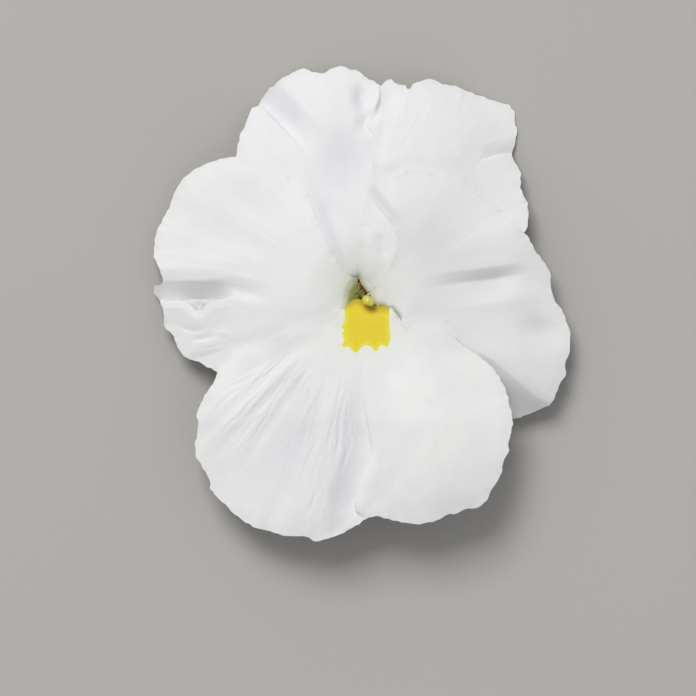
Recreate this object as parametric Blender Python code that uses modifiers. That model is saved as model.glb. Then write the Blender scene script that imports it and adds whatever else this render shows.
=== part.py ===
# A white pansy, picked and lying face up on its stalk.
# Lengths are in millimetres until each piece is finished, then they become metres.
import math

import bmesh
import bpy
from mathutils import Matrix, Vector

for old in list(bpy.data.objects):
    bpy.data.objects.remove(old, do_unlink=True)

PETAL_THICK = 0.5
SEPAL_THICK = 0.4
LAYER_STEP = 0.95  # height between one petal and the petal that lies on it
HEART = Vector((-0.3, 1.8))  # middle of the flower seen from the front
CLAW_RADIUS = 2.3  # the petals start on this ring
CLAW_HEIGHT = 7.05
THROAT_RISE = 4.0
SHOULDER_RADIUS = 9.0  # from here outwards the face of the flower falls away
FALL = 0.1
STALK_RADIUS = 0.85
DISC_RADIUS = 2.6
DISC_TOP = 6.6
ACROSS = 30  # faces across a petal
ALONG = 11  # faces from its claw to its edge

flower = bpy.data.collections.new("pansy_flower")
helpers = bpy.data.collections.new("shaping_forms")
bpy.context.scene.collection.children.link(flower)
bpy.context.scene.collection.children.link(helpers)


def material(name, colour, roughness):
    made = bpy.data.materials.new(name)
    made.use_nodes = True
    shader = made.node_tree.nodes["Principled BSDF"]
    shader.inputs["Base Color"].default_value = (*colour, 1.0)
    shader.inputs["Roughness"].default_value = roughness
    return made


def smooth(value):
    value = min(max(value, 0.0), 1.0)
    return value * value * (3.0 - 2.0 * value)


def curveThrough(points, count):
    """A smooth line through the points, as count + 1 evenly spaced places."""
    ends = [points[0]] + points + [points[-1]]
    fine = []
    for i in range(len(points) - 1):
        a, b, c, d = (Vector(p) for p in ends[i : i + 4])
        for k in range(12):
            t = k / 12
            fine.append(
                0.5
                * (
                    2 * b
                    + (c - a) * t
                    + (2 * a - 5 * b + 4 * c - d) * t * t
                    + (3 * b - 3 * c + d - a) * t**3
                )
            )
    fine.append(Vector(points[-1]))
    reach = [0.0]
    for p, q in zip(fine, fine[1:]):
        reach.append(reach[-1] + (q - p).length)
    places = []
    k = 0
    for i in range(count + 1):
        wanted = reach[-1] * i / count
        while k < len(fine) - 2 and reach[k + 1] < wanted:
            k += 1
        step = reach[k + 1] - reach[k]
        part = (wanted - reach[k]) / step if step > 0 else 0.0
        places.append(fine[k].lerp(fine[k + 1], min(max(part, 0.0), 1.0)))
    return places


def along(places, share):
    spot = min(max(share, 0.0), 1.0) * (len(places) - 1)
    k = min(int(spot), len(places) - 2)
    return places[k].lerp(places[k + 1], spot - k)


def sideOf(x, y, start, end):
    """How far a spot lies to the left of the line, and how far along it (0 to 1)."""
    line = Vector(end) - Vector(start)
    away = Vector((x, y)) - Vector(start)
    return (line.x * away.y - line.y * away.x) / line.length, away.dot(line) / line.length_squared


def groove(x, y, path, width, depth):
    """A soft valley along a path."""
    nearest = 1e9
    for start, end in zip(path, path[1:]):
        side, share = sideOf(x, y, start, end)
        share = min(max(share, 0.0), 1.0)
        spot = Vector(start).lerp(Vector(end), share)
        nearest = min(nearest, (Vector((x, y)) - spot).length)
    return -depth * math.exp(-((nearest / width) ** 2))


def faceHeight(x, y, layer):
    """Throat, shoulder, outward fall and the slow waves that all petals share."""
    away = Vector((x, y)) - HEART
    r = away.length
    turn = math.atan2(away.y, away.x)
    height = CLAW_HEIGHT + THROAT_RISE * (1.0 - math.exp(-max(r - CLAW_RADIUS, 0.0)))
    height -= FALL * max(r - SHOULDER_RADIUS, 0.0) ** 1.3
    waves = math.sin(5 * turn + 0.6) + 0.6 * math.sin(9 * turn - 1.2)
    height += 0.45 * smooth((r - 12) / 24) * waves
    return height + LAYER_STEP * layer * smooth((r - 2.6) / 2.8)


def upperLeftForm(x, y):
    side, share = sideOf(x, y, (-12.0, 28.5), (-19.0, 36.5))
    fold = 1.0 * smooth(side / 1.2) * smooth((y - 26) / 4)
    valley = -1.1 * math.exp(-(((x + 4.6) / 5) ** 2 + ((y - 23.7) / 5.5) ** 2))
    curl = -1.4 * smooth((y - 31) / 11)
    return fold + valley + curl


def upperRightForm(x, y):
    pinch = groove(x, y, [(27.5, 27.2), (21.5, 26.6)], 1.6, 0.9)
    knob = 0.9 * math.exp(-(((x - 2.2) / 1.8) ** 2 + ((y - 32) / 2) ** 2))
    curl = -1.65 * smooth((x + y - 48) / 14)
    return pinch + knob + curl


def leftForm(x, y):
    fold = groove(x, y, [(-36.0, 1.6), (-30.0, 1.6), (-17.0, 1.4)], 2.2, 1.5)
    low = groove(x, y, [(-34.0, -5.0), (-27.5, -5.6)], 1.6, 0.7)
    return fold + low - 1.2 * smooth((-x - 24) / 13)


def rightForm(x, y):
    fold = groove(x, y, [(10.4, 1.5), (17.9, 3.8), (30.0, 6.3)], 1.7, 1.2)
    dimple = -0.7 * math.exp(-(((x - 32.5) / 3) ** 2 + ((y + 4.5) / 2.2) ** 2))
    side, share = sideOf(x, y, (19.2, -8.0), (33.5, -17.8))
    back = -2.4 * smooth(-side / 6.0) * smooth((x - 12) / 8)
    return fold + dimple + back - 1.2 * smooth((x - 29) / 9)


def foldAt(y):
    """Where the fold down the middle of the lower petal runs."""
    fold = [(0.5, -9.0), (0.4, -18.0), (1.7, -26.7), (-1.3, -36.5), (-0.5, -42.0)]
    for start, end in zip(fold, fold[1:]):
        if y >= end[1]:
            share = min(max((start[1] - y) / (start[1] - end[1]), 0.0), 1.0)
            return start[0] + (end[0] - start[0]) * share
    return fold[-1][0]


def lowerForm(x, y):
    step = 0.9 * smooth((x - foldAt(y) + 0.9) / 1.8) - 0.45
    step *= smooth((-y - 8.0) / 8.0)
    trough = groove(x, y, [(-0.6, -21.0), (-0.4, -30.0), (-3.4, -38.0)], 2.0, 0.8)
    second = groove(x, y, [(-3.6, -18.8), (-4.0, -24.0), (-3.6, -28.5)], 1.0, 0.5)
    lift = 1.4 * smooth((-y - 24) / 18)
    return step + trough + second + lift


def petal(name, layer, turn, spread, left, rim, right, form, skin):
    """A petal between its left margin, its outer edge and its right margin."""
    claw = []
    for i in range(ACROSS + 1):
        angle = math.radians(turn + spread - 2 * spread * i / ACROSS)
        claw.append(HEART + CLAW_RADIUS * Vector((math.cos(angle), math.sin(angle))))
    leftLine = curveThrough([tuple(claw[0])] + left + [rim[0]], 60)
    rightLine = curveThrough([tuple(claw[-1])] + right + [rim[-1]], 60)
    rimLine = curveThrough(rim, ACROSS)
    mesh = bpy.data.meshes.new(name)
    sheet = bmesh.new()
    bmesh.ops.create_grid(sheet, x_segments=ACROSS, y_segments=ALONG, size=0.5)
    for vert in sheet.verts:
        v = vert.co.x + 0.5
        s = (vert.co.y + 0.5) ** 1.5
        sides = along(leftLine, s) * (1 - v) + along(rightLine, s) * v
        ends = along(claw, v) * (1 - s) + along(rimLine, v) * s
        corners = (claw[0] * (1 - v) + claw[-1] * v) * (1 - s)
        corners += (rimLine[0] * (1 - v) + rimLine[-1] * v) * s
        spot = sides + ends - corners
        height = faceHeight(spot.x, spot.y, layer) + form(spot.x, spot.y)
        vert.co = (spot.x, spot.y, height)
    bmesh.ops.reverse_faces(sheet, faces=sheet.faces)
    sheet.to_mesh(mesh)
    sheet.free()
    made = bpy.data.objects.new(name, mesh)
    flower.objects.link(made)
    shell = made.modifiers.new("thickness", "SOLIDIFY")
    shell.thickness = PETAL_THICK
    shell.offset = 0.0
    mesh.materials.append(skin)
    return made


def tube(name, places, radii, sides, home):
    """A round stalk through the places, closed at both ends."""
    line = bpy.data.curves.new(name, "CURVE")
    line.dimensions = "3D"
    line.bevel_depth = 1.0
    line.bevel_resolution = (sides - 4) // 2
    line.use_fill_caps = True
    line.render_resolution_u = 0
    strand = line.splines.new("POLY")
    strand.points.add(len(places) - 1)
    for point, place, radius in zip(strand.points, places, radii):
        point.co = (*place, 1.0)
        point.radius = radius
    drawn = bpy.data.objects.new(name + "_line", line)
    home.objects.link(drawn)
    bpy.context.view_layer.update()
    graph = bpy.context.evaluated_depsgraph_get()
    mesh = bpy.data.meshes.new_from_object(drawn.evaluated_get(graph))
    home.objects.unlink(drawn)
    bpy.data.objects.remove(drawn)
    skin = bmesh.new()
    skin.from_mesh(mesh)
    bmesh.ops.remove_doubles(skin, verts=skin.verts, dist=0.0001)
    bmesh.ops.recalc_face_normals(skin, faces=skin.faces)
    skin.to_mesh(mesh)
    skin.free()
    mesh.name = name
    made = bpy.data.objects.new(name, mesh)
    home.objects.link(made)
    return made


def combine(target, other, how):
    step = target.modifiers.new(other.name, "BOOLEAN")
    step.operation = how
    step.object = other
    step.solver = "EXACT"
    other.hide_render = True
    other.display_type = "WIRE"


upperLeftWhite = material("upper_left_white", (0.80, 0.80, 0.83), 0.55)
lowerWhite = material("lower_petal_white", (0.80, 0.80, 0.81), 0.55)

petal(
    "petal_upper_left",
    0,
    126,
    22,
    [(-3.6, 6.0), (-9.0, 12.0), (-17.0, 19.5)],
    [
        (-22.4, 26.0),
        (-21.8, 30.3),
        (-20.2, 34.2),
        (-14.8, 39.9),
        (-10.5, 42.0),
        (-7.0, 41.5),
        (-4.2, 42.5),
        (0.4, 40.9),
        (3.2, 38.2),
        (6.8, 33.0),
        (8.5, 25.0),
    ],
    [(-0.5, 5.6), (0.3, 8.0), (4.2, 14.0)],
    upperLeftForm,
    upperLeftWhite,
)
petal(
    "petal_upper_right",
    1,
    54,
    22,
    [(1.2, 5.8), (1.5, 8.0), (1.8, 14.0), (2.0, 22.0), (1.8, 28.0)],
    [
        (0.8, 32.0),
        (2.6, 36.5),
        (5.4, 40.1),
        (8.2, 38.7),
        (11.6, 40.2),
        (17.3, 38.9),
        (24.8, 36.2),
        (27.5, 34.5),
        (28.1, 31.0),
        (26.9, 27.0),
        (28.9, 19.4),
        (29.8, 15.2),
        (28.0, 10.6),
    ],
    [(3.6, 5.6), (11.0, 8.6), (20.0, 10.0)],
    upperRightForm,
    material("upper_right_white", (0.80, 0.80, 0.83), 0.55),
)
petal(
    "petal_left",
    1,
    198,
    22,
    [(-3.9, 4.8), (-6.6, 11.2), (-8.8, 16.5)],
    [
        (-10.2, 20.6),
        (-14.0, 23.1),
        (-19.6, 25.6),
        (-27.0, 25.4),
        (-32.6, 21.4),
        (-35.0, 16.0),
        (-37.4, 9.8),
        (-36.0, 5.8),
        (-37.3, 2.4),
        (-35.4, -3.0),
        (-32.4, -8.9),
        (-26.8, -11.9),
        (-20.0, -12.8),
    ],
    [(-4.9, -0.6), (-9.5, -5.6), (-14.5, -10.2)],
    leftForm,
    material("side_left_white", (0.80, 0.80, 0.83), 0.55),
)
petal(
    "petal_right",
    2,
    342,
    22,
    [(3.4, 4.3), (5.0, 6.8), (6.2, 10.6), (5.2, 14.2), (2.9, 17.4)],
    [
        (0.9, 20.4),
        (4.4, 22.4),
        (9.1, 24.0),
        (15.4, 23.1),
        (21.6, 19.6),
        (27.9, 14.0),
        (32.8, 6.9),
        (34.1, 1.9),
        (36.4, -2.8),
        (37.3, -8.0),
        (36.0, -13.6),
        (33.6, -17.8),
        (28.6, -20.4),
        (23.0, -20.6),
    ],
    [(4.4, -0.5), (9.0, -6.0), (16.0, -14.5)],
    rightForm,
    material("side_right_white", (0.80, 0.80, 0.83), 0.55),
)
lower = petal(
    "petal_lower",
    3,
    270,
    38,
    [(4.0, -1.6), (7.4, -3.4), (12.3, -2.1)],
    [
        (16.0, -4.3),
        (21.6, -10.1),
        (25.6, -16.0),
        (26.9, -21.2),
        (24.7, -30.2),
        (21.1, -36.0),
        (13.2, -38.9),
        (7.0, -39.1),
        (1.9, -38.3),
        (-3.0, -41.0),
        (-8.0, -42.5),
        (-15.4, -41.2),
        (-22.7, -37.8),
        (-27.4, -32.6),
        (-29.7, -25.3),
        (-29.0, -18.1),
        (-25.6, -12.4),
        (-22.6, -8.6),
    ],
    [(-4.5, -1.8), (-9.0, -3.5), (-15.5, -6.3)],
    lowerForm,
    lowerWhite,
)
spurWall = tube(
    "spur_wall",
    [
        (-0.3, -1.0, 8.3),
        (-0.3, -2.1, 7.6),
        (-0.3, -3.3, 6.2),
        (-0.3, -4.2, 4.6),
        (-0.3, -4.6, 3.6),
        (-0.3, -4.75, 3.0),
        (-0.3, -4.8, 2.8),
    ],
    [1.2, 1.25, 1.25, 1.15, 0.95, 0.6, 0.25],
    12,
    helpers,
)
spurHollow = tube(
    "spur_hollow",
    [(-0.3, 0.3, 8.6), (-0.3, -1.2, 8.1), (-0.3, -2.2, 7.4), (-0.3, -3.35, 6.0), (-0.3, -4.2, 4.4)],
    [0.8, 0.8, 0.8, 0.8, 0.55],
    12,
    helpers,
)
combine(lower, spurWall, "UNION")
combine(lower, spurHollow, "DIFFERENCE")


def sepal(name, turn, reach, skin):
    """A pointed sepal, with a short blunt ear that hangs behind where it is attached."""
    spine = [(4.2, 3.1), (3.5, 4.4), (3.1, 5.6), (3.2, 6.4), (4.6, 7.5), (8.0, 8.3), (reach, 7.6)]
    widths = [0.75, 1.05, 0.8, 0.85, 1.5, 2.2, 0.12]
    line = curveThrough([(*place, width) for place, width in zip(spine, widths)], 14)
    outward = Vector((math.cos(math.radians(turn)), math.sin(math.radians(turn)), 0))
    across = Vector((-outward.y, outward.x, 0))
    mesh = bpy.data.meshes.new(name)
    sheet = bmesh.new()
    bmesh.ops.create_grid(sheet, x_segments=4, y_segments=14, size=0.5)
    for vert in sheet.verts:
        r, height, width = along(line, vert.co.y + 0.5)
        side = 2 * vert.co.x
        trough = 0.22 * width * side * side
        flat = Vector((HEART.x, HEART.y, height + trough))
        vert.co = flat + outward * r + across * (side * width)
    sheet.to_mesh(mesh)
    sheet.free()
    made = bpy.data.objects.new(name, mesh)
    flower.objects.link(made)
    shell = made.modifiers.new("thickness", "SOLIDIFY")
    shell.thickness = SEPAL_THICK
    shell.offset = 0.0
    mesh.materials.append(skin)
    return made


sepal("sepal_top", 90, 15.0, material("sepal_top_green", (0.13, 0.25, 0.06), 0.5))
sepal("sepal_left", 160, 14.6, material("sepal_left_green", (0.13, 0.25, 0.06), 0.5))
sepal("sepal_right", 20, 15.4, material("sepal_right_green", (0.13, 0.25, 0.06), 0.5))
sepal("sepal_low_left", 222, 13.4, material("sepal_low_left_green", (0.13, 0.25, 0.06), 0.5))
sepal("sepal_low_right", 318, 13.8, material("sepal_low_right_green", (0.13, 0.25, 0.06), 0.5))

# The stalk runs from the disc under the flower, round its hook and along the ground.
stalkPath = curveThrough(
    [
        (-0.3, 2.35, 4.85),
        (-0.3, 3.2, 3.8),
        (-0.3, 3.5, 2.7),
        (-0.3, 2.9, 1.6),
        (-0.35, 1.3, 0.95),
        (-0.5, -1.6, STALK_RADIUS),
        (-1.4, -12.0, STALK_RADIUS),
        (-2.1, -24.0, STALK_RADIUS),
        (-0.9, -37.0, STALK_RADIUS),
    ],
    30,
)
discPath = [
    (-0.3, 1.8, DISC_TOP),
    (-0.3, 1.8, 6.1),
    (-0.3, 1.85, 5.6),
    (-0.3, 2.0, 5.2),
]
stem = tube(
    "stem",
    discPath + stalkPath,
    [DISC_RADIUS - 0.15, DISC_RADIUS, 1.9, 1.15] + [STALK_RADIUS] * len(stalkPath),
    12,
    flower,
)
stem.data.materials.append(material("stalk_green", (0.22, 0.36, 0.10), 0.5))


def bractlet(name, side, skin):
    """A tiny pointed leaf that leans along the stalk."""
    mesh = bpy.data.meshes.new(name)
    sheet = bmesh.new()
    bmesh.ops.create_grid(sheet, x_segments=2, y_segments=6, size=0.5)
    for vert in sheet.verts:
        s = vert.co.y + 0.5
        width = 0.5 * math.sin(math.pi * (0.12 + 0.85 * s)) + 0.08
        x = -1.45 + side * (STALK_RADIUS + 0.6 + 1.5 * s * s)
        height = 0.95 + 0.5 * s + 2 * vert.co.x * width
        vert.co = (x, -13.0 + 4.4 * s, height)
    sheet.to_mesh(mesh)
    sheet.free()
    made = bpy.data.objects.new(name, mesh)
    flower.objects.link(made)
    shell = made.modifiers.new("thickness", "SOLIDIFY")
    shell.thickness = 0.35
    shell.offset = 0.0
    mesh.materials.append(skin)


bractlet("bractlet_left", -1, material("bractlet_left_green", (0.2, 0.33, 0.1), 0.5))
bractlet("bractlet_right", 1, material("bractlet_right_green", (0.2, 0.33, 0.1), 0.5))

# The pistil is turned from its outline, then its style leans towards the lower petal.
outline = [
    (0.0, 6.95),
    (0.55, 6.95),
    (0.88, 7.6),
    (0.95, 8.3),
    (0.75, 9.1),
    (0.36, 9.8),
    (0.30, 10.6),
    (0.48, 11.1),
    (0.82, 11.5),
    (0.88, 11.9),
    (0.66, 12.35),
    (0.0, 12.55),
]
pistilMesh = bpy.data.meshes.new("pistil")
turned = bmesh.new()
rings = [turned.verts.new((r, 0.0, z)) for r, z in outline]
edges = [turned.edges.new(pair) for pair in zip(rings, rings[1:])]
bmesh.ops.spin(
    turned,
    geom=rings + edges,
    axis=(0, 0, 1),
    cent=(0, 0, 0),
    steps=12,
    angle=2 * math.pi,
)
bmesh.ops.remove_doubles(turned, verts=turned.verts, dist=0.0001)
bmesh.ops.recalc_face_normals(turned, faces=turned.faces)
for vert in turned.verts:
    lean = max(vert.co.z - 9.0, 0.0) / 2.9
    vert.co.x += HEART.x + 1.0 * lean
    vert.co.y += HEART.y - 1.5 * lean
turned.to_mesh(pistilMesh)
turned.free()
pistil = bpy.data.objects.new("pistil", pistilMesh)
flower.objects.link(pistil)
pistilMesh.materials.append(material("pistil_green", (0.42, 0.48, 0.10), 0.45))


def stamen(name, turn, tail, skin):
    """A flat anther that leans on the ovary, drawn out to a blunt tip."""
    mesh = bpy.data.meshes.new(name)
    ball = bmesh.new()
    bmesh.ops.create_uvsphere(ball, u_segments=10, v_segments=7, radius=1.0)
    outward = Vector((math.cos(math.radians(turn)), math.sin(math.radians(turn)), 0))
    across = Vector((-outward.y, outward.x, 0))
    for vert in ball.verts:
        narrow = 1.0 - 0.35 * max(vert.co.z, 0.0)
        spot = Vector((HEART.x, HEART.y, 8.3 + 1.1 * vert.co.z))
        spot += outward * (1.52 + 0.25 * vert.co.x) + across * (0.52 * narrow * vert.co.y)
        vert.co = spot
    ball.to_mesh(mesh)
    ball.free()
    made = bpy.data.objects.new(name, mesh)
    flower.objects.link(made)
    mesh.materials.append(skin)
    if tail:
        places = [
            (HEART.x + tail * 0.85, 0.6, 8.1),
            (HEART.x + tail * 0.5, -0.3, 8.4),
            (HEART.x + tail * 0.32, -1.4, 7.9),
            (HEART.x + tail * 0.32, -2.3, 6.9),
        ]
        combine(made, tube(name + "_tail", places, [0.17] * 4, 8, helpers), "UNION")


stamen("stamen_top", 90, 0, material("stamen_top_ochre", (0.5, 0.25, 0.05), 0.6))
stamen("stamen_left", 162, 0, material("stamen_left_ochre", (0.5, 0.25, 0.05), 0.6))
stamen("stamen_right", 18, 0, material("stamen_right_ochre", (0.5, 0.25, 0.05), 0.6))
stamen("stamen_low_left", 234, -1, material("stamen_low_left_ochre", (0.5, 0.25, 0.05), 0.6))
stamen("stamen_low_right", 306, 1, material("stamen_low_right_ochre", (0.5, 0.25, 0.05), 0.6))

# The flower is set down with its middle over the origin, and becomes its real size.
pieces = list(flower.objects)
forms = list(helpers.objects)
bpy.context.view_layer.update()
graph = bpy.context.evaluated_depsgraph_get()
spots = [vert.co.copy() for piece in pieces for vert in piece.evaluated_get(graph).data.vertices]
low = Vector([min(spot[k] for spot in spots) for k in range(3)])
high = Vector([max(spot[k] for spot in spots) for k in range(3)])
middle = Vector(((low.x + high.x) / 2, (low.y + high.y) / 2, low.z))
toMetres = Matrix.Scale(0.001, 4) @ Matrix.Translation(-middle)
for piece in pieces + forms:
    piece.data.transform(toMetres)
    for face in piece.data.polygons:
        face.use_smooth = True
    for step in piece.modifiers:
        if step.type == "SOLIDIFY":
            step.thickness *= 0.001
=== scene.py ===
import math

import bpy
import numpy as np
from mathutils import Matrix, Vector


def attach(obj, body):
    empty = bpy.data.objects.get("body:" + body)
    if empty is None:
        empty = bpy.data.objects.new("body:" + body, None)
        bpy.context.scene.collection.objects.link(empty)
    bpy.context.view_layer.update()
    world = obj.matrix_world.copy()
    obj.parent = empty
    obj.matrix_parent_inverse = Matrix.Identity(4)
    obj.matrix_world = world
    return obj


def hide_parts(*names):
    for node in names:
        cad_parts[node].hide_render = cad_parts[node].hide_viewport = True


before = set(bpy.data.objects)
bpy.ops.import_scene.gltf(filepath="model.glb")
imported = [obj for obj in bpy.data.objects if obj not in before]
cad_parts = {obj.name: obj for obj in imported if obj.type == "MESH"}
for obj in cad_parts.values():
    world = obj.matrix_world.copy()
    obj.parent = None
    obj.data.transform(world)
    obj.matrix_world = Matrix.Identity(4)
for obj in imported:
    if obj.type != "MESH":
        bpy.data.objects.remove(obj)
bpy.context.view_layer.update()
print("frame loaded:", len(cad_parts), "pieces")

# Everything is drawn in millimetres with the face looking up, then moved onto the frame.
drawing = {
    "shift": (0.065, -0.079, 0.007),
    "heart": (-0.3, 1.8),  # middle of the throat
    "clawRing": 2.3,
    "clawHeight": 7.05,
    "lowest": 0.2,  # no petal comes nearer to the ground
    "bendFrom": 0.9,  # below this height a petal bends level
    "bendLength": 0.7,
}
heartX, heartY = drawing["heart"]


def soft(t):
    t = np.clip(t, 0.0, 1.0)
    return t * t * (3.0 - 2.0 * t)


def bell(t, other=0.0):
    return np.exp(-(t**2) - other**2)


def heading(degrees):
    return math.cos(math.radians(degrees)), math.sin(math.radians(degrees))


def fromHeart(x, y):
    # distance and direction from the middle of the throat
    return np.hypot(x - heartX, y - heartY), np.arctan2(y - heartY, x - heartX)


def patchNoise(u, v, seed):
    # smooth random hills between -1 and 1, one to a unit square
    table = np.random.RandomState(seed).rand(97, 97) * 2.0 - 1.0
    iu = np.floor(u).astype(int)
    iv = np.floor(v).astype(int)
    fu = u - iu
    fv = v - iv
    fu = fu**3 * (fu * (fu * 6 - 15) + 10)
    fv = fv**3 * (fv * (fv * 6 - 15) + 10)
    low = table[iu % 97, iv % 97] * (1 - fu) + table[(iu + 1) % 97, iv % 97] * fu
    high = table[iu % 97, (iv + 1) % 97] * (1 - fu) + table[(iu + 1) % 97, (iv + 1) % 97] * fu
    return low * (1 - fv) + high * fv


def smoothLine(points, count):
    # a curve through the points, as count + 1 evenly spaced places
    pts = np.array(points, float)
    gaps = np.linalg.norm(np.diff(pts, axis=0), axis=1)
    slopes = np.diff(pts, axis=0) / gaps[:, None]
    tangents = np.empty_like(pts)
    tangents[0], tangents[-1] = slopes[0], slopes[-1]
    before, after = gaps[:-1, None], gaps[1:, None]
    tangents[1:-1] = (slopes[1:] * before + slopes[:-1] * after) / (before + after)
    t = np.linspace(0, 1, 16, endpoint=False)[:, None]
    fine = []
    for i, gap in enumerate(gaps):
        fine.append(
            (2 * t**3 - 3 * t**2 + 1) * pts[i]
            + (t**3 - 2 * t**2 + t) * gap * tangents[i]
            + (3 * t**2 - 2 * t**3) * pts[i + 1]
            + (t**3 - t**2) * gap * tangents[i + 1]
        )
    fine = np.vstack(fine + [pts[-1:]])
    reach = np.concatenate([[0], np.cumsum(np.linalg.norm(np.diff(fine, axis=0), axis=1))])
    wanted = np.linspace(0, reach[-1], count + 1)
    return np.stack([np.interp(wanted, reach, fine[:, k]) for k in range(fine.shape[1])], 1)


def nearLine(x, y, path):
    # distance to a line of points, the share along it, and which side (left is positive)
    path = np.array(path, float)
    best = np.full(x.shape, 1e9)
    share = np.zeros(x.shape)
    side = np.ones(x.shape)
    lengths = np.linalg.norm(np.diff(path, axis=0), axis=1)
    reach = np.concatenate([[0], np.cumsum(lengths)])
    for i, length in enumerate(lengths):
        dx, dy = path[i + 1] - path[i]
        px, py = x - path[i, 0], y - path[i, 1]
        t = np.clip((px * dx + py * dy) / max(length * length, 1e-12), 0, 1)
        away = np.hypot(px - t * dx, py - t * dy)
        nearer = away < best
        best = np.where(nearer, away, best)
        share = np.where(nearer, (reach[i] + t * length) / reach[-1], share)
        side = np.where(nearer, np.where(dx * py - dy * px < 0, -1.0, 1.0), side)
    return best, share, side


def insideRing(x, y, ring):
    ring = np.array(ring, float)
    inside = np.zeros(x.shape, bool)
    for (ax, ay), (bx, by) in zip(ring, np.roll(ring, -1, 0)):
        if ay != by:
            crosses = (ay > y) != (by > y)
            inside ^= crosses & (x < (bx - ax) * (y - ay) / (by - ay) + ax)
    return inside


def gridSkins(places, thick, extras, ring=False):
    # two skins a small thickness apart, joined round the edge; places is rows x columns x 3
    rows, cols = places.shape[:2]
    down = np.gradient(places, axis=0)
    over = np.gradient(places, axis=1)
    if ring:
        over = (np.roll(places, -1, 1) - np.roll(places, 1, 1)) / 2
    normal = np.cross(over, down)
    normal /= np.maximum(np.linalg.norm(normal, axis=2, keepdims=True), 1e-9)
    half = np.broadcast_to(np.asarray(thick, float) / 2, (rows, cols))[..., None]
    verts = np.concatenate([(places + normal * half).reshape(-1, 3), (places - normal * half).reshape(-1, 3)])
    index = np.arange(rows * cols).reshape(rows, cols)
    count = rows * cols
    if ring:
        index = np.concatenate([index, index[:, :1]], axis=1)
    a, b = index[:-1, :-1].ravel(), index[:-1, 1:].ravel()
    c, d = index[1:, 1:].ravel(), index[1:, :-1].ravel()
    faces = [np.stack([a, b, c, d], 1), np.stack([a, d, c, b], 1) + count]

    def hem(line):
        return np.stack([line[1:], line[:-1], line[:-1] + count, line[1:] + count], 1)

    hems = [hem(index[0]), hem(index[-1][::-1])]
    if not ring:
        hems += [hem(index[:, -1]), hem(index[::-1, 0])]
    hems = np.concatenate(hems)
    extras = {key: np.tile(np.broadcast_to(value, (rows, cols)).ravel(), 2) for key, value in extras.items()}
    return verts, np.concatenate(faces + [hems]).tolist(), extras


def tubeSkin(path, radii, sides, extras=None, swells=None):
    # a round stalk through the places with closed ends; swells shapes each ring round its turn
    path = np.array(path, float)
    ahead = np.gradient(path, axis=0)
    ahead /= np.linalg.norm(ahead, axis=1, keepdims=True)
    lean = np.array([1.0, 0.13, 0.29])
    turns = np.linspace(0, 2 * np.pi, sides, endpoint=False)
    rings = []
    for i, spot in enumerate(path):
        lean = lean - ahead[i] * (lean @ ahead[i])
        lean /= np.linalg.norm(lean)
        other = np.cross(ahead[i], lean)
        swell = np.ones(sides) if swells is None else swells[i]
        reach = (radii[i] * swell)[:, None]
        rings.append(spot + reach * (np.cos(turns)[:, None] * lean + np.sin(turns)[:, None] * other))
    verts = np.concatenate(rings + [path[:1], path[-1:]])
    faces = []
    for i in range(len(path) - 1):
        for k in range(sides):
            a, b = i * sides + k, i * sides + (k + 1) % sides
            faces.append((a, b, b + sides, a + sides))
    first, last = len(path) * sides, len(path) * sides + 1
    end = (len(path) - 1) * sides
    for k in range(sides):
        faces.append((first, (k + 1) % sides, k))
        faces.append((last, end + k, end + (k + 1) % sides))
    made = {}
    for key, values in (extras or {}).items():
        values = np.broadcast_to(np.asarray(values, float), (len(path),))
        made[key] = np.concatenate([np.repeat(values, sides), values[:1], values[-1:]])
    return verts, faces, made


def meshPiece(name, skins):
    # one object from one or more closed skins
    verts, faces, extras = [], [], {}
    keys = sorted({key for skin in skins for key in skin[2]})
    start = 0
    for places, quads, made in skins:
        verts.append((np.asarray(places) + np.array(drawing["shift"])) * 0.001)
        faces.extend([tuple(corner + start for corner in quad) for quad in quads])
        for key in keys:
            extras.setdefault(key, []).append(made.get(key, np.zeros(len(places))))
        start += len(places)
    mesh = bpy.data.meshes.new(name)
    mesh.from_pydata(np.concatenate(verts).tolist(), [], faces)
    for key in keys:
        store = mesh.attributes.new(key, "FLOAT", "POINT")
        store.data.foreach_set("value", np.concatenate(extras[key]))
    mesh.shade_smooth()
    mesh.set_sharp_from_angle(angle=math.radians(35))  # a hem is not shaded into the face beside it
    mesh.update()
    piece = bpy.data.objects.new(name, mesh)
    bpy.context.scene.collection.objects.link(piece)
    return piece


def place(piece, node, material):
    piece.data.materials.append(material)
    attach(piece, "root")
    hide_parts(node)


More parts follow.
